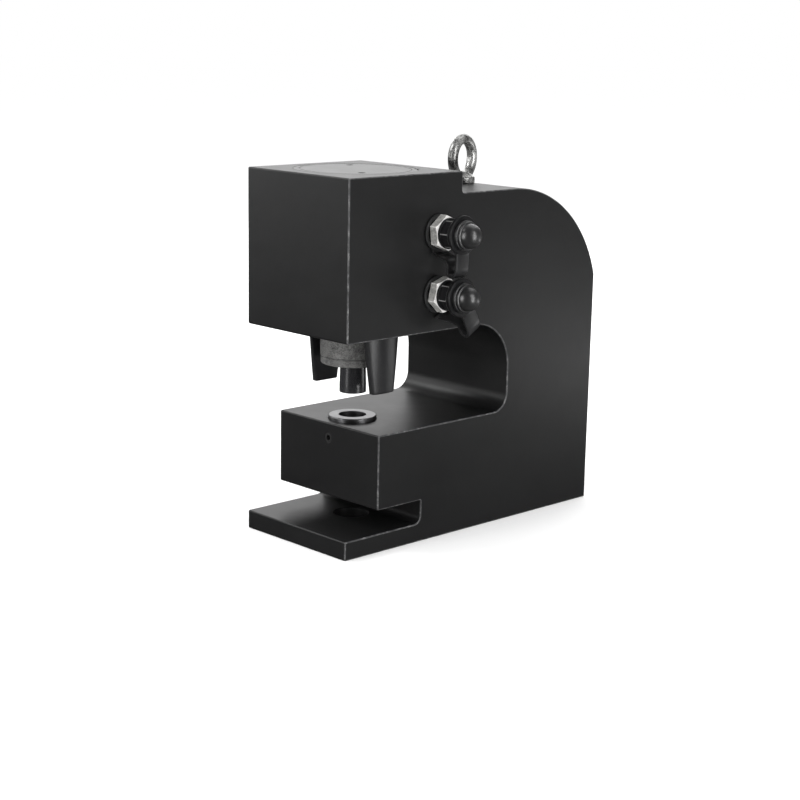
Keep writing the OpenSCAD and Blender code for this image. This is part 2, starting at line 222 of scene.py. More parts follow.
def cut(o, *cutters, op="DIFFERENCE"):
    """Booleans applied to o's own mesh; the cutters are removed. They run in millimetres, where the solver is steady."""
    for x in (o, *cutters):
        x.data.transform(Matrix.Scale(1000, 4))
    held = [(m, m.show_viewport) for m in o.modifiers]
    for m, _ in held:
        m.show_viewport = False
    for c in cutters:
        m = o.modifiers.new("cut", "BOOLEAN")
        m.operation = op
        m.solver = "EXACT"
        m.object = c
        bpy.context.view_layer.update()
        dg = bpy.context.evaluated_depsgraph_get()
        me = bpy.data.meshes.new_from_object(o.evaluated_get(dg), depsgraph=dg)
        o.modifiers.remove(m)
        me.name = o.name
        o.data = me
        bm = bmesh.new()
        bm.from_mesh(me)
        bmesh.ops.remove_doubles(bm, verts=bm.verts, dist=0.0005)
        bm.to_mesh(me)
        bm.free()
    for m, on in held:
        m.show_viewport = on
    for c in cutters:
        bpy.data.objects.remove(c)
    o.data.transform(Matrix.Scale(MM, 4))
    for p in o.data.polygons:
        p.use_smooth = True
    return o


def sharpen(o, angle=30):
    o.data.set_sharp_from_angle(angle=math.radians(angle))


# ------------------------------------------------------------------ materials
class Mat:
    """A small wrapper that builds a Principled material from nodes."""

    def __init__(self, name, rough=0.5, metal=0.0, spec=0.5, coat=0.0, coat_rough=0.1):
        self.m = bpy.data.materials.new(name)
        self.m.use_nodes = True
        self.t = self.m.node_tree
        self.t.nodes.clear()
        self.out = self.t.nodes.new("ShaderNodeOutputMaterial")
        self.b = self.t.nodes.new("ShaderNodeBsdfPrincipled")
        self.t.links.new(self.b.outputs[0], self.out.inputs[0])
        self.b.inputs["Roughness"].default_value = rough
        self.b.inputs["Metallic"].default_value = metal
        self.b.inputs["Specular IOR Level"].default_value = spec
        self.b.inputs["Coat Weight"].default_value = coat
        self.b.inputs["Coat Roughness"].default_value = coat_rough
        self.co = self.t.nodes.new("ShaderNodeTexCoord").outputs["Object"]
        self.height = None

    def noise(self, scale, detail=3.0, rough=0.5, stretch=None, out="Fac"):
        co = self.co
        if stretch:
            mp = self.t.nodes.new("ShaderNodeMapping")
            mp.inputs["Scale"].default_value = stretch
            self.t.links.new(co, mp.inputs["Vector"])
            co = mp.outputs[0]
        n = self.t.nodes.new("ShaderNodeTexNoise")
        n.inputs["Scale"].default_value = scale
        n.inputs["Detail"].default_value = detail
        n.inputs["Roughness"].default_value = rough
        self.t.links.new(co, n.inputs["Vector"])
        return n.outputs[out]

    def ramp(self, fac, stops, mode="LINEAR"):
        r = self.t.nodes.new("ShaderNodeValToRGB")
        r.color_ramp.interpolation = mode
        e = r.color_ramp.elements
        while len(e) < len(stops):
            e.new(0.5)
        for k, (pos, c) in enumerate(stops):
            e[k].position = pos
            e[k].color = (c, c, c, 1) if isinstance(c, (int, float)) else (*c, 1)
        self.t.links.new(fac, r.inputs[0])
        return r.outputs[0]

    def mix(self, a, b, fac, blend="MIX"):
        n = self.t.nodes.new("ShaderNodeMix")
        n.data_type = "RGBA"
        n.blend_type = blend
        for sock, v in ((n.inputs[0], fac), (n.inputs[6], a), (n.inputs[7], b)):
            if hasattr(v, "links"):
                self.t.links.new(v, sock)
            elif sock is n.inputs[0]:
                sock.default_value = v
            else:
                sock.default_value = (v, v, v, 1) if isinstance(v, (int, float)) else (*v, 1)
        return n.outputs[2]

    def math(self, op, a, b=0.0, c=0.0):
        n = self.t.nodes.new("ShaderNodeMath")
        n.operation = op
        for sock, v in zip(n.inputs, (a, b, c)):
            if hasattr(v, "links"):
                self.t.links.new(v, sock)
            else:
                sock.default_value = v
        return n.outputs[0]

    def split(self):
        n = self.t.nodes.new("ShaderNodeSeparateXYZ")
        self.t.links.new(self.co, n.inputs[0])
        return n.outputs

    def color(self, sock):
        self.t.links.new(sock, self.b.inputs["Base Color"])
        return self

    def rough(self, fac, low, high):
        r = self.t.nodes.new("ShaderNodeMapRange")
        r.inputs["To Min"].default_value = low
        r.inputs["To Max"].default_value = high
        self.t.links.new(fac, r.inputs["Value"])
        self.t.links.new(r.outputs[0], self.b.inputs["Roughness"])
        return self

    def bump(self, height, strength, dist):
        n = self.t.nodes.new("ShaderNodeBump")
        n.inputs["Strength"].default_value = strength
        n.inputs["Distance"].default_value = dist
        self.t.links.new(height, n.inputs["Height"])
        if self.height is not None:
            self.t.links.new(self.height, n.inputs["Normal"])
        self.height = n.outputs[0]
        self.t.links.new(self.height, self.b.inputs["Normal"])
        return self


def paint(name, dark, light, rough=(0.36, 0.46), spec=0.5, grain=0.05):
    """Satin paint: cloudy tone, faint rubbed strokes, fine orange peel."""
    m = Mat(name, spec=spec)
    cloud = m.noise(9, 4, 0.6)
    strokes = m.noise(30, 3, 0.6, stretch=(1.0, 0.35, 2.2))
    both = m.math("ADD", m.math("MULTIPLY", cloud, 0.7), m.math("MULTIPLY", strokes, 0.3))
    m.color(m.ramp(both, [(0.3, dark), (0.7, light)]))
    m.rough(m.noise(55, 4, 0.6), *rough)
    m.bump(m.noise(700, 3, 0.55), grain, 0.0004)
    m.bump(m.noise(120, 2, 0.5), grain, 0.0012)
    return m.m


M = {}
M["paint"] = paint("frame_black_paint", (0.0050, 0.0050, 0.0053), (0.0085, 0.0085, 0.0088), rough=(0.36, 0.44))
M["cover"] = paint("cover_paint", (0.0125, 0.0125, 0.0130), (0.018, 0.018, 0.0185), rough=(0.32, 0.40))


def worn_and_highlit_edge():
    """Where the paint is rubbed thin on an arris: satin steel with darker nicks, and lighter than the paint all along
    the arris as a painted highlight line.
    """
    m = Mat("rubbed_edge_painted_highlight", metal=0.35, spec=0.6)
    n = m.noise(260, 5, 0.7)
    m.color(m.ramp(n, [(0.3, (0.035, 0.035, 0.037)), (0.52, (0.085, 0.085, 0.087)), (0.72, (0.25, 0.25, 0.25))]))
    m.rough(n, 0.5, 0.32)
    m.bump(m.noise(900, 3, 0.6), 0.15, 0.0003)
    return m.m


M["edge"] = worn_and_highlit_edge()


def blasted(name, a, b, rough=(0.6, 0.75), bump=0.5, metal=0.55, spec=0.4):
    m = Mat(name, metal=metal, spec=spec)
    fine = m.noise(900, 5, 0.85)
    mott = m.noise(150, 4, 0.6)
    m.color(m.ramp(m.math("ADD", m.math("MULTIPLY", fine, 0.75), m.math("MULTIPLY", mott, 0.25)), [(0.38, a), (0.62, b)]))
    m.rough(fine, *rough)
    m.bump(fine, bump, 0.0006)
    return m.m


M["nut"] = blasted("blasted_steel", (0.045, 0.045, 0.044), (0.25, 0.248, 0.242), rough=(0.42, 0.58), bump=0.45, metal=0.5)
M["stripper"] = blasted("phosphated_steel", (0.008, 0.008, 0.009), (0.017, 0.017, 0.018), rough=(0.28, 0.36), bump=0.04, metal=0.0, spec=0.5)


def turned(name, a, b, rough, metal=1.0, rings=(1, 1, 60), bump=0.08, spec=0.5):
    """Turned or ground metal. rings stretches the grain across the tool marks."""
    m = Mat(name, metal=metal, spec=spec)
    g = m.noise(60, 3, 0.6, stretch=rings)
    c = m.noise(45, 3, 0.6)
    m.color(m.ramp(m.math("ADD", m.math("MULTIPLY", g, 0.5), m.math("MULTIPLY", c, 0.5)), [(0.3, a), (0.7, b)]))
    m.rough(g, *rough)
    m.bump(g, bump, 0.0003)
    return m.m


def plated(name, a, b, rough=(0.30, 0.45), metal=0.45):
    """Bright zinc plate that scatters part of the light: soft mottling with a fine grain."""
    m = Mat(name, metal=metal, spec=0.6)
    f = m.noise(640, 5, 0.8)
    c = m.noise(240, 4, 0.6)
    m.color(m.ramp(m.math("ADD", m.math("MULTIPLY", f, 0.6), m.math("MULTIPLY", c, 0.4)), [(0.38, a), (0.62, b)]))
    m.rough(c, *rough)
    m.bump(f, 0.12, 0.0004)
    return m.m


M["punch"] = turned("punch_black_steel", (0.012, 0.012, 0.014), (0.022, 0.022, 0.024), (0.22, 0.28), metal=0.0, rings=(1, 1, 6), bump=0.010, spec=1.0)
M["tool"] = turned("die_steel", (0.16, 0.16, 0.165), (0.26, 0.26, 0.265), (0.28, 0.4))
M["steel"] = turned("turned_steel", (0.36, 0.36, 0.37), (0.5, 0.5, 0.51), (0.26, 0.38))
M["chrome"] = turned("hard_chrome", (0.62, 0.63, 0.65), (0.74, 0.75, 0.77), (0.08, 0.14), bump=0.02)
M["bronze"] = turned("bronze", (0.45, 0.28, 0.10), (0.62, 0.42, 0.17), (0.25, 0.36))
M["spring"] = turned("spring_wire", (0.32, 0.32, 0.34), (0.45, 0.45, 0.47), (0.25, 0.35), rings=(60, 1, 1))
M["zinc"] = plated("zinc_plate", (0.24, 0.238, 0.23), (0.66, 0.65, 0.625), metal=0.25)
M["black_hex"] = turned("black_oxide", (0.008, 0.008, 0.009), (0.020, 0.020, 0.021), (0.24, 0.36), metal=0.2, rings=(12, 1, 1), bump=0.03, spec=0.8)
# light grey on the black hexagon's corner bevels and chamfers: a painted highlight
M["hex_edge"] = turned("oxide_painted_highlight", (0.16, 0.16, 0.16), (0.46, 0.46, 0.45), (0.25, 0.36), metal=0.35, rings=(12, 1, 1), bump=0.05)
# near-white zinc on the hexagon's bevels and front chamfer: a painted highlight
M["zinc_painted_highlight"] = plated("zinc_painted_highlight", (0.80, 0.79, 0.77), (0.95, 0.94, 0.92), rough=(0.22, 0.32), metal=0.12)
M["screw"] = turned("screw_black", (0.014, 0.014, 0.014), (0.03, 0.03, 0.03), (0.3, 0.45), metal=0.3)


def forged():
    """Forged and plated: long dark and bright streaks in the colour, painted reflection, with a fine grain."""
    m = Mat("forged_zinc", metal=0.75, spec=0.6)
    big = m.noise(150, 4, 0.7, stretch=(1.0, 0.5, 0.5))
    fine = m.noise(900, 4, 0.75)
    m.color(m.ramp(m.math("ADD", m.math("MULTIPLY", big, 0.62), m.math("MULTIPLY", fine, 0.38)), [(0.38, (0.030, 0.030, 0.029)), (0.46, (0.17, 0.17, 0.165)), (0.535, (0.50, 0.50, 0.49)), (0.64, (0.90, 0.90, 0.88))]))
    m.rough(fine, 0.20, 0.36)
    m.bump(big, 0.3, 0.0010)
    m.bump(fine, 0.2, 0.0004)
    return m.m


M["eye"] = forged()


def rubber(name, a, b, rough=(0.5, 0.62), grain=0.18, spec=0.45, coat=0.0, scale=900, coat_rough=0.27):
    m = Mat(name, spec=spec, coat=coat, coat_rough=coat_rough)
    f = m.noise(scale, 4, 0.65)
    c = m.noise(80, 3, 0.6)
    m.color(m.ramp(m.math("ADD", m.math("MULTIPLY", f, 0.3), m.math("MULTIPLY", c, 0.7)), [(0.3, a), (0.7, b)]))
    m.rough(c, *rough)
    m.bump(f, grain, 0.0004)
    return m.m


M["strap"] = rubber("strap_rubber", (0.008, 0.008, 0.0085), (0.020, 0.020, 0.0205), rough=(0.26, 0.36), grain=0.08, spec=0.5)
# a darker copy of the strap's rubber for its ring round the cap: painted shade on the ring's flat face
M["ring"] = rubber("strap_rubber_painted_shade", (0.004, 0.004, 0.0045), (0.011, 0.011, 0.0115), rough=(0.26, 0.36), grain=0.16, spec=0.34, scale=520)
M["cap"] = rubber("cap_plastic", (0.005, 0.005, 0.0055), (0.014, 0.014, 0.0145), rough=(0.30, 0.42), grain=0.42, spec=1.0, coat=1.0, scale=480, coat_rough=0.31)
M["seal"] = rubber("seal_rubber", (0.012, 0.012, 0.012), (0.022, 0.022, 0.022))
M["pu"] = rubber("polyurethane", (0.02, 0.05, 0.16), (0.04, 0.09, 0.25), rough=(0.3, 0.4), grain=0.05)
M["wear"] = rubber("wear_resin", (0.22, 0.15, 0.07), (0.34, 0.24, 0.12), rough=(0.5, 0.6), grain=0.1)

for node, key in {
    "end_cap_seal": "seal", "end_cap_lock_screw": "screw", "guide_bush": "bronze", "rod_seal": "pu", "rod_wiper": "seal",
    "die_set_screw": "screw", "piston": "steel", "piston_seal": "pu", "piston_wear_ring": "wear", "piston_nut": "steel",
    "ram_rod": "chrome", "c_frame": "paint", "head_block": "paint", "die_arm": "paint", "foot_plate": "paint", "end_cap": "cover", "stripper": "stripper", "die": "tool", "eye_bolt": "eye",
    "punch_nut": "nut", "punch": "punch",
}.items():
    N[node].data.materials.clear()
    N[node].data.materials.append(M[key])
for s in ("upper", "lower"):
    for part, key in {"adapter": "zinc", "coupler": "black_hex", "spring_seat": "steel", "poppet": "steel", "poppet_spring": "spring",
                      "dust_cap": "cap", "cap_ring": "strap", "strap": "strap"}.items():
        N[f"{s}_{part}"].data.materials.clear()
        N[f"{s}_{part}"].data.materials.append(M[key])

# ------------------------------------------------------------------ frame
E = 0.9  # rounding of the frame's arrises
arc = [(113.0 + 100 * math.sin(math.radians(a)), HEAD_BOTTOM + 100 * math.cos(math.radians(a))) for a in np.arange(74.36, 0.01, -2.12)]
yt = FRONT + 166.2
body_pts = outline(
    [(FRONT, 0, 1.0), (BACK, 0, 1.0)]
    + [(BACK, arc[0][1], 0)]
    + [(y, z, 0) for y, z in arc[1:]]
    + [
        (113.0, FRAME_TOP, 0),
        (HEAD_BACK, FRAME_TOP, 2.2),
        (HEAD_BACK, HEAD_TOP, 1.3),
        (FRONT, HEAD_TOP, 1.2),
        (FRONT, HEAD_BOTTOM, 1.6),
        (yt, HEAD_BOTTOM, 36.0),
        (yt, 87.5, 13.8),
        (-24.3, 87.5, 1.2),
        (-24.3, 31.8, 1.2),
        (19.6, 31.8, 1.0),
        (19.6, 14.0, 6.0),
        (FRONT, 14.0, 1.1),
    ],
    step=5,
)


# the rounded rims take the edge material: rubbed paint and a painted highlight line along every arris
bm = prism_bm(body_pts, -SIDE, SIDE, edge=E, steps=4, mat_edge=1)
body = finish_mesh("frame_body", bm, [M["paint"], M["edge"]], angle=35)


def cutter(profile, place=None, seg=128):
    return lathe("cutter", profile, M["paint"], seg=seg, place=place, weighted=False)


cap_z = lo("end_cap", 2) + 2.4
cutters = [
    cutter([(0, 171), (24, 171), (24, 200), (40, 200), (40, 255), (TOP_CAP_R, 255), (TOP_CAP_R, HEAD_TOP - 0.7), (TOP_CAP_R + 1.2, HEAD_TOP + 0.5), (0, HEAD_TOP + 0.5)]),
    cutter([(0, 150), (38.4, 150), (38.4, HEAD_BOTTOM - 0.01), (38, HEAD_BOTTOM + 0.4), (38, 172), (0, 172)]),
    cutter([(0, 25), (13.6, 25), (13.6, 31.75), (13, 32.4), (13, 62), (18, 62), (18, 86.9), (18.8, 87.7), (18.8, 92), (0, 92)]),
    cutter([(0, -2), (13.8, -2), (13.8, -0.01), (13, 0.8), (13, 13.3), (13.8, 14.1), (13.8, 17), (0, 17)]),
    cutter([(0, -14.3), (4, -14.3), (4, 9.2), (4.5, 9.7), (4.5, 12), (0, 12)], place=Matrix.Translation((0, -15.0, 76)) @ Matrix.Rotation(math.radians(90), 4, "X"), seg=48),
    cutter([(0, 243.2), (4, 243.2), (4, 257.3), (5, 258.3), (5, 262), (0, 262)], place=Matrix.Translation((0, EYE_Y, 0)), seg=48),
]
for s in ("upper", "lower"):
    cutters.append(cutter([(0, 41), (8.3, 41), (8.3, 54.6), (9, 55.3), (9, 58), (0, 58)], place=axis_x(PORT_Y, PORT_Z[s]), seg=64))
lx, ly = (lo("end_cap_lock_screw", 0) + hi("end_cap_lock_screw", 0)) / 2, (lo("end_cap_lock_screw", 1) + hi("end_cap_lock_screw", 1)) / 2
cutters.append(cutter([(0, HEAD_TOP - 9), (2.2, HEAD_TOP - 9), (2.2, HEAD_TOP - 0.3), (2.6, HEAD_TOP + 0.1), (2.6, HEAD_TOP + 2), (0, HEAD_TOP + 2)], place=Matrix.Translation((lx, ly, 0)), seg=32))
cut(body, *cutters)
sharpen(body, 35)
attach(body, "frame")
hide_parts("c_frame", "head_block", "die_arm", "foot_plate")

# ------------------------------------------------------------------ end cap
cap_profile = outline([(0, 252.6), (33, 252.6, 0.3), (33, 253.4), (39.9, 253.4, 0.2), (39.9, 255), (TOP_CAP_R, 255), (TOP_CAP_R, HEAD_TOP, 0.9), (TOP_CAP_R - 4.2, HEAD_TOP, 0), (TOP_CAP_R - 4.2, HEAD_TOP - 0.35, 0), (TOP_CAP_R - 4.9, HEAD_TOP - 0.35, 0), (TOP_CAP_R - 4.9, HEAD_TOP, 0), (0, HEAD_TOP)], step=15)
endcap = lathe("head_cap", cap_profile, [M["cover"], M["edge"]], seg=160)
d = Vector((math.cos(math.radians(55.4)), math.sin(math.radians(55.4))))
cs = [cutter([(0, HEAD_TOP - 9), (2.2, HEAD_TOP - 9), (2.2, HEAD_TOP - 0.3), (2.6, HEAD_TOP + 0.1), (2.6, HEAD_TOP + 2), (0, HEAD_TOP + 2)], place=Matrix.Translation((lx, ly, 0)), seg=32)]
for k in (-1, 1):
    cs.append(cutter([(0, HEAD_TOP - 6), (2.5, HEAD_TOP - 6), (2.5, HEAD_TOP - 0.4), (3.0, HEAD_TOP + 0.1), (3.0, HEAD_TOP + 2), (0, HEAD_TOP + 2)], place=Matrix.Translation((k * 33 * d[1], -k * 33 * d[0], 0)), seg=40))
cut(endcap, *cs)
sharpen(endcap, 35)
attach(endcap, "frame")
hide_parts("end_cap")

# ------------------------------------------------------------------ stripper
def leg_bm(sign):
    """One stripper leg: flat inside, round outside, wider at its root, with softened edges."""
    bm = bmesh.new()
    ri, ro = 29.0, 35.2
    z0, z1 = 112.0, HEAD_BOTTOM + 3
    rows = []
    zs = [z0, z0 + 0.12, z0 + 0.45, z0 + 0.9] + list(np.linspace(z0 + 2, z1, 14))
    for z in zs:
        low = max(0.0, 0.9 - (z - z0))
        shrink = 0.9 - math.sqrt(max(0.0, 0.81 - low * low))
        w = 10.6 + (z - z0) * 0.1597 - shrink
        a = math.asin(w / ro)
        rr = ro - shrink
        pts = [(ri + shrink, -w, 0.8)]
        k = 18
        for j in range(k + 1):
            t = -a + 2 * a * j / k
            pts.append((rr * math.cos(t), rr * math.sin(t), 0))
        pts.append((ri + shrink, w, 0.8))
        # round the two outer corners by pulling the last points in a little
        p = [list(q[:2]) for q in pts]
        for idx, amt in ((1, 0.45), (k + 1, 0.45), (2, 0.1), (k, 0.1)):
            p[idx][0] -= amt
        # and the two inner ones with a small chamfer
        c = 0.7
        inner = [(p[0][0] + c, p[0][1] - 0.0), (p[0][0], p[0][1] + c), (p[-1][0], p[-1][1] - c), (p[-1][0] + c, p[-1][1])]
        full = [inner[0]] + [tuple(q) for q in p[1:-1]] + [inner[3], inner[2], inner[1]]
        rows.append([bm.verts.new((sign * x * MM, sign * y * MM, z * MM)) for x, y in full])
    n = len(rows[0])
    for i in range(len(rows) - 1):
        for k in range(n):
            q = (k + 1) % n
            bm.faces.new((rows[i][k], rows[i][q], rows[i + 1][q], rows[i + 1][k]))
    bm.faces.new(rows[0])
    bm.faces.new(rows[-1])
    return bm


ring_profile = outline([(27, HEAD_BOTTOM + 0.05, 0.8), (38, HEAD_BOTTOM + 0.05, 0.3), (38, 172, 0.3), (27, 172, 0.3)], step=20)
stripper = lathe("stripper_ring", ring_profile, M["stripper"], seg=128)
for sgn in (1, -1):
    leg = finish_mesh("stripper_leg_" + ("right" if sgn > 0 else "left"), leg_bm(sgn), M["stripper"], angle=35)
    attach(leg, "frame")
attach(stripper, "frame")
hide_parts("stripper")

# ------------------------------------------------------------------ punch, nut and die
nz = lo("punch_nut", 2)
nr = hi("punch_nut", 0)
# the bevel above the groove low on the nut is bright turned steel: a painted highlight line
nut = lathe("punch_nut_turned", outline([
    (10.6, nz, 0.5), (nr - 0.4, nz, 1.3), (nr - 0.4, nz + 5.3, 0.1), (nr - 0.75, nz + 5.5, 0), (nr - 0.75, nz + 5.9, 0), (nr, nz + 6.3, 0.3),
    (nr, 168, 1.0), (20.0, 168, 0.6), (20.0, 140, 0), (10.6, 140, 0)], step=15), [M["nut"], M["steel"]], mat=lambda r, h: 1 if nz + 5.85 < h < nz + 6.9 and r > 12 else 0, seg=128)
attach(nut, "ram")
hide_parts("punch_nut")

pz = lo("punch", 2)
punch = lathe("punch_ground", outline([(0, pz), (10, pz, 0.35), (10, pz + 5, 4), (9.6, nz, 0), (9.6, 140, 0), (16, 140, 0.5), (16, 146, 0.5), (0, 146)], step=15), M["punch"], seg=128)
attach(punch, "ram")
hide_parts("punch")

dz = hi("die", 2)
die = lathe("die_ground", outline([(11.5, 62, 0.3), (18, 62, 0.5), (18, dz, 1.0), (10.3, dz, 0.25), (10.3, dz - 7, 0), (11.5, dz - 9, 0)], step=15), M["tool"], seg=128)
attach(die, "frame")
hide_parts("die")

# ------------------------------------------------------------------ eye bolt
def torus_bm(R, r, centre, turn, nu=128, nv=40):
    bm = bmesh.new()
    m = Matrix.Translation(centre) @ Matrix.Rotation(math.radians(turn), 4, "Z") @ Matrix.Rotation(math.radians(90), 4, "Y")
    rows = []
    for i in range(nu):
        a = 2 * math.pi * i / nu
        rows.append([bm.verts.new(m @ Vector(((R + r * math.cos(b)) * math.cos(a), (R + r * math.cos(b)) * math.sin(a), r * math.sin(b))) * MM) for b in [2 * math.pi * j / nv for j in range(nv)]])
    for i in range(nu):
        for j in range(nv):
            bm.faces.new((rows[i][j], rows[(i + 1) % nu][j], rows[(i + 1) % nu][(j + 1) % nv], rows[i][(j + 1) % nv]))
    return bm


EYE_Z = hi("eye_bolt", 2) - 18.6
ringo = finish_mesh("eye_forged", torus_bm(14.6, 3.95, (0, EYE_Y, EYE_Z), 14), M["eye"], weighted=False)
collar = lathe("collar", outline([(0, FRAME_TOP + 0.02), (9.8, FRAME_TOP + 0.02, 0.5), (9.8, FRAME_TOP + 4.8, 1.6), (6.2, FRAME_TOP + 7.4, 2.0), (4.4, FRAME_TOP + 9.0, 0), (0, FRAME_TOP + 9.0)], step=12), M["eye"], seg=96, place=Matrix.Translation((0, EYE_Y, 0)), weighted=False)
cut(ringo, collar, op="UNION")
rm = ringo.modifiers.new("remesh", "REMESH")
rm.mode = "VOXEL"
rm.voxel_size = 0.00038
sm = ringo.modifiers.new("smooth", "SMOOTH")
sm.factor = 0.5
sm.iterations = 6
bpy.context.view_layer.update()
dg = bpy.context.evaluated_depsgraph_get()
me = bpy.data.meshes.new_from_object(ringo.evaluated_get(dg), depsgraph=dg)
ringo.modifiers.clear()
me.name = "eye_forged"
ringo.data = me
for p in me.polygons:
    p.use_smooth = True
if not me.materials:
    me.materials.append(M["eye"])
# keep the collar's foot above the frame's top
for v in me.vertices:
    v.co.z = max(v.co.z, (FRAME_TOP + 0.02) * MM)
shank = lathe("eye_shank", outline([(0, FRAME_TOP - 13.5), (4, FRAME_TOP - 13.5, 0.8), (4, FRAME_TOP + 1), (0, FRAME_TOP + 1)], step=20), M["eye"], seg=48, place=Matrix.Translation((0, EYE_Y, 0)))
for o in (ringo, shank):
    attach(o, "frame")
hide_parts("eye_bolt")

# ------------------------------------------------------------------ couplers
def hexa(name, af, x0, x1, turn, y, z, mat, edge, bevel=0.25, both=True):
    """A hexagon bar with turned-off corners at its far end, or at both ends, and softened edges. Its bevels and
    chamfers take the edge material, a painted highlight.
    """
    c = af / math.cos(math.radians(30)) / 2
    bm = bmesh.new()
    place = axis_x(y, z) @ Matrix.Rotation(math.radians(turn), 4, "Z")
    rows = [[bm.verts.new(place @ Vector((c * math.cos(math.radians(60 * k)), c * math.sin(math.radians(60 * k)), h)) * MM) for k in range(6)] for h in (x0, x1)]
    for k in range(6):
        q = (k + 1) % 6
        bm.faces.new((rows[0][k], rows[0][q], rows[1][q], rows[1][k]))
    bm.faces.new(rows[0])
    bm.faces.new(rows[1])
    edges = [e for e in bm.edges if (e.verts[0] in rows[0]) != (e.verts[1] in rows[0])]
    bmesh.ops.bevel(bm, geom=edges, offset=bevel * MM, segments=3, affect="EDGES", profile=0.5, material=1)
    o = finish_mesh(name, bm, [mat, edge], angle=32, weighted=False)
    cone = lathe("cone", [(0, x0 - 0.01), (af * 0.478 if both else c + 0.2, x0 - 0.01), (c + 0.3, x0 + 1.15), (c + 0.3, x1 - 1.15), (af * 0.478, x1 + 0.01), (0, x1 + 0.01)], [mat, edge], mat=lambda r, h: 0 if h < x0 + 0.1 or h > x1 or x0 + 1.2 < h < x1 - 1.2 else 1, seg=96, place=axis_x(y, z), weighted=False)
    cut(o, cone, op="INTERSECT")
    b = o.modifiers.new("soft", "BEVEL")
    b.width = 0.00018
    b.segments = 2
    b.limit_method = "ANGLE"
    b.angle_limit = math.radians(20)
    b.harden_normals = False
    sharpen(o, 45)
    return o


X_RING = SIDE + 0.2
HEX0 = SIDE + 1.8
HEX1 = HEX0 + 7.0
BODY1 = HEX1 + 9.2
NOSE1 = BODY1 + 10
TIP1 = NOSE1 + 3


LOOP = [(12, 0.95), (14.6, 1.1), (16.3, 4.5), (17.4, 8.8), (19.4, 12.8), (22.6, 14.6), (26.2, 14.3), (29.3, 15.3), (30.4, 18.0), (29, 20.9), (25.6, 22.7), (21, 23.05), (14.5, 23.05)]


def band_line(reach, steps=6):
    """The band's centre line as (distance from the port's axis, x), the same curve as the CAD strap's, run on into the cap's ring."""
    k = (reach - 17.4) / (31.3 - 17.4)
    p = [np.array((17.4 + (q[0] - 17.4) * k if q[0] > 17.4 and q[1] < 23 else q[0], SIDE + q[1])) for q in LOOP]
    out = []
    for i in range(len(p) - 1):
        a, b, c, d = p[max(0, i - 1)], p[i], p[i + 1], p[min(len(p) - 1, i + 2)]
        for j in range(steps):
            t = j / steps
            out.append((2 * b + (c - a) * t + (2 * a - 5 * b + 4 * c - d) * t * t + (3 * b - a - 3 * c + d) * t ** 3) / 2)
    out += [p[-1], np.array((12.6, p[-1][1]))]
    return out


def strap_mesh(name, y, z, lean, reach, tab, root):
    """One moulded rubber strap: a ring round the adapter's neck, a band hanging in a loop, a ring round the cap."""
    rot = axis_x(y, z) @ Matrix.Rotation(math.radians(lean), 4, "Z")
    line = band_line(reach)
    n = len(line)
    bm = bmesh.new()
    rows = []
    for i, (r, x) in enumerate(line):
        d = line[min(n - 1, i + 1)] - line[max(0, i - 1)]
        d /= np.linalg.norm(d)
        nr_, nx = -d[1], d[0]
        th = (1.5 + 0.8 * i / (n - 1)) / 2
        half_w = tab + (root * max(0.0, (26 - r) / 14) ** 2 if x < SIDE + 16 else 0)
        er = min(0.62, th - 0.05)
        row = []
        for sx, sy, a0 in ((1, 1, 0), (-1, 1, 90), (-1, -1, 180), (1, -1, 270)):
            for k in range(4):
                g = math.radians(a0 + 30 * k)
                w = sx * (half_w - er) + er * math.cos(g)
                h = sy * (th - er) + er * math.sin(g)
                row.append(bm.verts.new(rot @ Vector((r + nr_ * h, w, x + nx * h)) * MM))
        rows.append(row)
    m = len(rows[0])
    for i in range(n - 1):
        for k in range(m):
            q = (k + 1) % m
            bm.faces.new((rows[i][k], rows[i][q], rows[i + 1][q], rows[i + 1][k]))
    bm.faces.new(rows[0])
    bm.faces.new(rows[-1])
    o = finish_mesh(name, bm, [M["strap"], M["ring"]], angle=40, weighted=False)
    x0, x1 = X_RING, X_RING + 1.5
    base = lathe("ring_a", outline([(10.8, x0, 0.5), (13.6, x0, 0.5), (13.6, x1, 0.6), (10.8, x1, 0.5)], step=25), [M["strap"], M["ring"]], seg=96, place=axis_x(y - 2.2, z), weighted=False)
    # the ring round the cap takes the darker copy of the strap's rubber: painted shade
    tip = lathe("ring_b", outline([(9.9, BODY1 + 3.65, 0.5), (14.2, BODY1 + 3.65, 0.9), (14.2, BODY1 + 6.45, 0.9), (9.9, BODY1 + 6.45, 0.5)], step=25), [M["strap"], M["ring"]], seg=96, place=axis_x(y, z), mat=lambda r, h: 1, weighted=False)
    cut(o, base, tip, op="UNION")
    sharpen(o, 42)
    return o


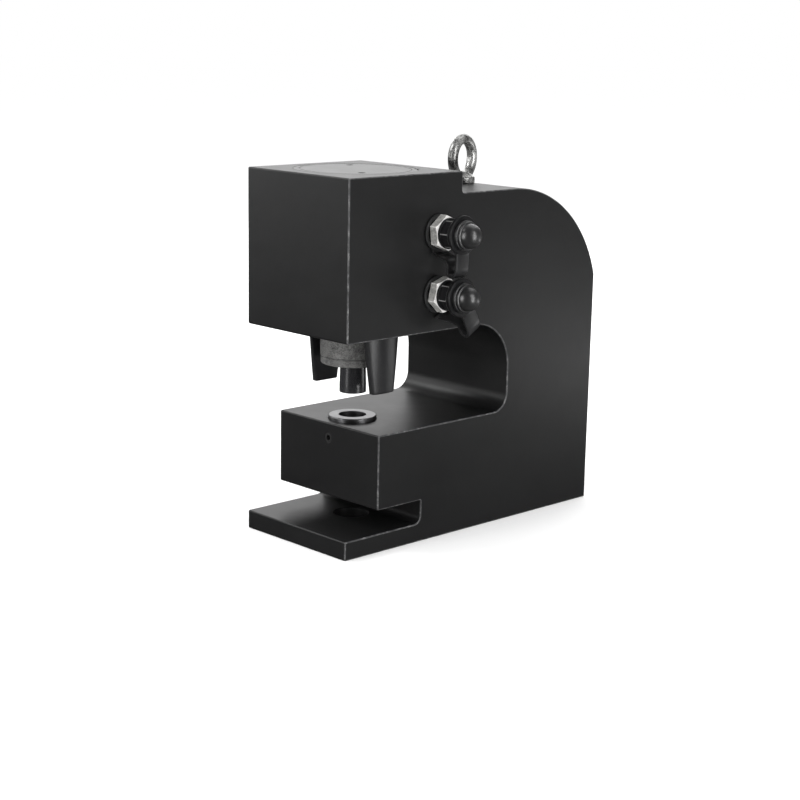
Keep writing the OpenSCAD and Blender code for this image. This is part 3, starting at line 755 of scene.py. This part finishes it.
HEX_TURN = {"upper": (7, 28), "lower": (-13, -17)}
STRAP = {"upper": (-1, 31.3, 6.2, 2.5), "lower": (31, 32.8, 6.6, 6)}
for s in ("upper", "lower"):
    z = PORT_Z[s]
    at, ct = HEX_TURN[s]
    # adapter: threaded spigot, hexagon, with its bore
    ad = hexa(f"{s}_adapter_hex", 23, HEX0, HEX1, at, PORT_Y, z, M["zinc"], M["zinc_painted_highlight"], bevel=0.35, both=False)
    neck = lathe(f"{s}_adapter_neck", outline([(3, 41.5), (8.3, 41.5, 0.8), (8.3, HEX0 + 0.3), (7.02, HEX0 + 0.3), (7.02, SIDE), (3, SIDE)], step=25), M["zinc"], seg=64, place=axis_x(PORT_Y, z))
    cut(ad, cutter([(0, HEX0 - 1), (7.02, HEX0 - 1), (7.02, HEX1 + 1), (0, HEX1 + 1)], place=axis_x(PORT_Y, z), seg=64))
    sharpen(ad, 45)
    # coupler: black hexagon, spigot behind it and the nose under the cap
    co = hexa(f"{s}_coupler_hex", 19, HEX1 + 0.6, BODY1, ct, PORT_Y, z, M["black_hex"], M["hex_edge"], bevel=0.45)
    cut(co, cutter([(0, HEX1 - 1), (5.2, HEX1 - 1), (5.2, BODY1 + 1), (0, BODY1 + 1)], place=axis_x(PORT_Y, z), seg=64))
    sharpen(co, 45)
    collar_ = lathe(f"{s}_coupler_collar", outline([(5.2, HEX1 + 0.02, 0), (11.3, HEX1 + 0.02, 0.3), (11.3, HEX1 + 2.0, 0.7), (5.2, HEX1 + 2.0, 0)], step=15), M["black_hex"], seg=96, place=axis_x(PORT_Y, z))
    nose = lathe(f"{s}_coupler_nose", outline([
        (5.2, SIDE, 0), (7.0, SIDE, 0.5), (7.0, HEX1), (5.2, HEX1)], step=25), M["black_hex"], seg=64, place=axis_x(PORT_Y, z))
    tip = lathe(f"{s}_coupler_tip", outline([
        (5.2, BODY1 - 0.2, 0), (8.5, BODY1 - 0.2, 0), (8.5, BODY1 + 3.0, 0.2), (7.9, BODY1 + 3.4, 0.2), (7.9, BODY1 + 5.0, 0.2), (8.5, BODY1 + 5.4, 0.2),
        (8.5, NOSE1, 0.6), (6.0, NOSE1, 0.4), (6.0, TIP1, 0.5), (3.0, TIP1, 0.3), (3.0, BODY1 + 7.8, 0), (5.2, BODY1 + 5.6, 0)], step=20), M["steel"], seg=96, place=axis_x(PORT_Y, z))
    for o in (ad, neck):
        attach(o, "frame")
    for o in (co, collar_, nose, tip):
        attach(o, "frame")
    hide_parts(f"{s}_adapter")
    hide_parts(f"{s}_coupler")
    # dust cap
    b = BODY1
    prof = outline([
        (8.55, b + 0.2, 0.2), (11.6, b + 0.2, 0.5), (11.6, b + 3.4, 0.5), (9.75, b + 3.4, 0.2), (9.75, b + 6.7, 0.2), (11.0, b + 6.7, 0.4), (11.0, b + 8.9, 0.6),
        (10.3, b + 9.1, 0.15), (10.3, b + 11.3, 0.5), (9.05, b + 11.6, 0.25)], step=20, closed=False)
    for a in np.linspace(2, 90, 23):
        r = 9.1 * math.cos(math.radians(a))
        prof.append((r if r > 1e-3 else 0.0, b + 11.5 + 9.1 * math.sin(math.radians(a))))
    prof[-1] = (0.0, b + 11.5 + 9.1)
    prof += [(0, TIP1 + 0.3), (6.3, TIP1 + 0.3), (6.3, NOSE1 + 0.1), (8.55, NOSE1 + 0.1)]
    cap = lathe(f"{s}_cap_moulded", prof, M["cap"], seg=128, place=axis_x(PORT_Y, z), angle=32)
    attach(cap, f"{s}_cap")
    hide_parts(f"{s}_dust_cap")
    st = strap_mesh(f"{s}_strap_moulded", PORT_Y, z, *STRAP[s])
    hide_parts(f"{s}_strap", f"{s}_cap_ring")
    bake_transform(st)

# ------------------------------------------------------------------ stage, light, camera
def stage_mat(name, value):
    m = bpy.data.materials.new(name)
    m.use_nodes = True
    b = m.node_tree.nodes["Principled BSDF"]
    b.inputs["Base Color"].default_value = (value, value, value, 1)
    b.inputs["Roughness"].default_value = 0.9
    b.inputs["Specular IOR Level"].default_value = 0.0
    return m


bm = bmesh.new()
bmesh.ops.create_circle(bm, cap_ends=True, segments=96, radius=14.0)
me = bpy.data.meshes.new("floor")
bm.to_mesh(me)
bm.free()
floor = bpy.data.objects.new("floor", me)
floor.location = (0, 0, -0.00005)
bpy.context.scene.collection.objects.link(floor)
me.materials.append(stage_mat("floor_white", 0.97))
floor.visible_glossy = False

# The room is white to the eye and to matt surfaces. What a glossy surface mirrors of it is dimmer, as with
# black cards round a product table, and brightest at the back.
ROOM_SEEN, ROOM_MATT, ROOM_GLOSS, FLOOR_GLOSS = 1.0, 1.03, 0.10, 0.04
world = bpy.data.worlds.new("studio")
bpy.context.scene.world = world
world.use_nodes = True
wt = world.node_tree
wt.nodes.clear()


def wmath(op, a, b, c=0.0):
    n = wt.nodes.new("ShaderNodeMath")
    n.operation = op
    for sock, v in zip(n.inputs, (a, b, c)):
        if hasattr(v, "links"):
            wt.links.new(v, sock)
        else:
            sock.default_value = v
    return n.outputs[0]


lp = wt.nodes.new("ShaderNodeLightPath")
towards = wt.nodes.new("ShaderNodeSeparateXYZ")
wt.links.new(wt.nodes.new("ShaderNodeTexCoord").outputs["Generated"], towards.inputs[0])
gloss = wmath("MULTIPLY_ADD", towards.outputs["Y"], ROOM_GLOSS / 2, ROOM_GLOSS / 2)
below = wt.nodes.new("ShaderNodeMapRange")
below.inputs["From Min"].default_value, below.inputs["From Max"].default_value = -0.12, -0.30
below.inputs["To Min"].default_value, below.inputs["To Max"].default_value = 0.0, FLOOR_GLOSS
wt.links.new(towards.outputs["Z"], below.inputs["Value"])
gloss = wmath("ADD", gloss, below.outputs[0])
level = wmath("MULTIPLY", lp.outputs["Is Glossy Ray"], gloss)
level = wmath("MULTIPLY_ADD", lp.outputs["Is Diffuse Ray"], ROOM_MATT, level)
level = wmath("MULTIPLY_ADD", lp.outputs["Is Camera Ray"], ROOM_SEEN, level)
background = wt.nodes.new("ShaderNodeBackground")
background.inputs[0].default_value = (1, 1, 1, 1)
wt.links.new(level, background.inputs[1])
wt.links.new(background.outputs[0], wt.nodes.new("ShaderNodeOutputWorld").inputs[0])


def soft_box(name, place, aim, size, power):
    l = bpy.data.lights.new(name, "AREA")
    l.shape = "RECTANGLE"
    l.size, l.size_y = size
    l.energy = power
    o = bpy.data.objects.new(name, l)
    o.location = place
    o.rotation_mode = "QUATERNION"
    o.rotation_quaternion = (Vector(aim) - Vector(place)).to_track_quat("-Z", "Y")
    o.visible_camera = False
    bpy.context.scene.collection.objects.link(o)
    return o


def area(name, azimuth, elevation, dist, size, power):
    """A soft box round the object. Azimuth 0 stands in front (at -Y) and 90 at +X."""
    a, e = math.radians(azimuth), math.radians(elevation)
    aim = Vector((0, 0.075, 0.15))
    return soft_box(name, aim + Vector((math.sin(a) * math.cos(e), -math.cos(a) * math.cos(e), math.sin(e))) * dist, aim, size, power)


area("back_soft", 226, 24, 1.9, (2.2, 0.9), 13.0)
area("back_left", 250, 22, 1.9, (1.4, 0.9), 0.4)
area("top_back", 200, 62, 1.7, (1.6, 1.2), 5)
area("front_low", -60, 10, 1.7, (0.7, 0.5), 4.0)
area("front_high", -52, 42, 1.7, (0.7, 0.7), 8.5)
# upright strips that stand on the floor: one draws the bands on the right leg and the domes, one the band on the punch
soft_box("right_strip", (0.90, 0.075, 0.50), (0.0, 0.075, 0.50), (0.27, 0.98), 3.2)
soft_box("right_low", (0.60, 0.055, 0.055), (0.035, 0.0, 0.13), (0.14, 0.10), 0.28)
soft_box("front_strip", (-0.09, -0.86, 0.33), (0.0, 0.0, 0.33), (0.22, 0.64), 2.4)
# this one only lights matt surfaces, so that the floor has no dark rim round the foot
fill = area("floor_fill", 60, 60, 2.2, (3.0, 3.0), 9)
fill.visible_glossy = False
# small low panels that grade the coupler side from front to back
side_aim = (0.055, 0.08, 0.16)
soft_box("side_panel_a", (0.42, 0.66, 0.08), side_aim, (0.3, 0.25), 0.105)
soft_box("side_panel_b", (0.30, 0.55, 0.03), side_aim, (0.25, 0.06), 0.1)

cam = bpy.data.cameras.new("camera")
cam.sensor_fit = "HORIZONTAL"
cam.sensor_width = 36.0
cam.lens = 76.047
cam.clip_start, cam.clip_end = 0.05, 60
co = bpy.data.objects.new("camera", cam)
R = ((0.6922313, 0.7214365, 0.0185771), (0.1705351, -0.1385105, -0.9755678), (-0.7012372, 0.6784867, -0.2189115))
m = Matrix.Identity(4)
for i in range(3):
    m[i][0], m[i][1], m[i][2] = R[0][i], -R[1][i], -R[2][i]
m[0][3], m[1][3], m[2][3] = 0.912075, -0.833092, 0.378950
co.matrix_world = m
bpy.context.scene.collection.objects.link(co)
bpy.context.scene.camera = co

sc = bpy.context.scene
sc.view_settings.view_transform = "Standard"
sc.view_settings.look = "None"
sc.view_settings.exposure = 0.0
sc.view_settings.gamma = 1.0
